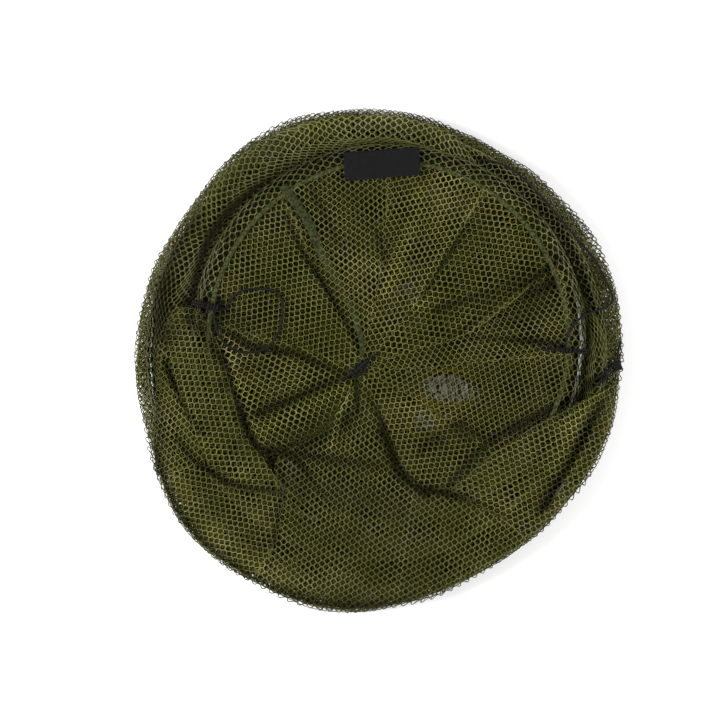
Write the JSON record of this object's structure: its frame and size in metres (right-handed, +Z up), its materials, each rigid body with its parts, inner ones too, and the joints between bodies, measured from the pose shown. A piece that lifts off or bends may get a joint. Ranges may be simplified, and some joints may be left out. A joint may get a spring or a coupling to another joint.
{
  "type": "fishing keepnet",
  "caption": "Round folding keepnet folded flat: netting tube on stacked wire hoops, smaller mouth hoop, throat net gathered by a cord, blank label.",
  "frame": {"origin": "on the surface that the folded net lies on, under the middle of the base hoop", "axes": "+Z up, along the hoops' common axis and the way the net opens; +Y towards the label; +X to the right of it, seen from above"},
  "size_m": [0.4288, 0.4288, 0.0409],
  "materials": {
    "hoop_wire": "bright galvanised wire",
    "ferrule_steel": "crimped steel tube",
    "netting": "olive knotless nylon mesh, six-sided cells about 5 mm wide",
    "binding_tape": "woven olive tape",
    "label_cloth": "woven black patch, blank",
    "cord": "braided black cord"
  },
  "bodies": {
    "base": {"base_hoop": "hoop_wire", "base_hoop_ferrule": "ferrule_steel", "base_hem": "netting", "base_net": "netting"},
    "middle_ring": {"middle_hoop": "hoop_wire", "middle_hoop_ferrule": "ferrule_steel", "middle_hem": "netting", "lower_sleeve": "netting"},
    "upper_ring": {"upper_hoop": "hoop_wire", "upper_hoop_ferrule": "ferrule_steel", "upper_hem": "netting", "middle_sleeve": "netting", "rim_knot": "cord", "rim_cord": "cord"},
    "mouth": {"mouth_hoop": "hoop_wire", "mouth_hoop_ferrule": "ferrule_steel", "mouth_hem": "netting", "shoulder_sleeve": "netting", "throat_net": "netting", "mouth_tape": "binding_tape", "throat_seam_tape": "binding_tape", "label": "label_cloth", "drawstring_tie": "cord", "drawstring_knot": "cord", "left_knot": "cord", "right_knot": "cord", "left_cord": "cord", "right_cord": "cord"}
  },
  "joints": [
    {"name": "lower_section_opens", "type": "slide", "parent": "base", "child": "middle_ring", "axis": [0, 0, 1], "range_m": [0, 0.25], "deforming": ["lower_sleeve"]},
    {"name": "middle_section_opens", "type": "slide", "parent": "middle_ring", "child": "upper_ring", "axis": [0, 0, 1], "range_m": [0, 0.25], "deforming": ["middle_sleeve"]},
    {"name": "shoulder_section_opens", "type": "slide", "parent": "upper_ring", "child": "mouth", "axis": [0, 0, 1], "range_m": [0, 0.17], "deforming": ["shoulder_sleeve"]}
  ]
}
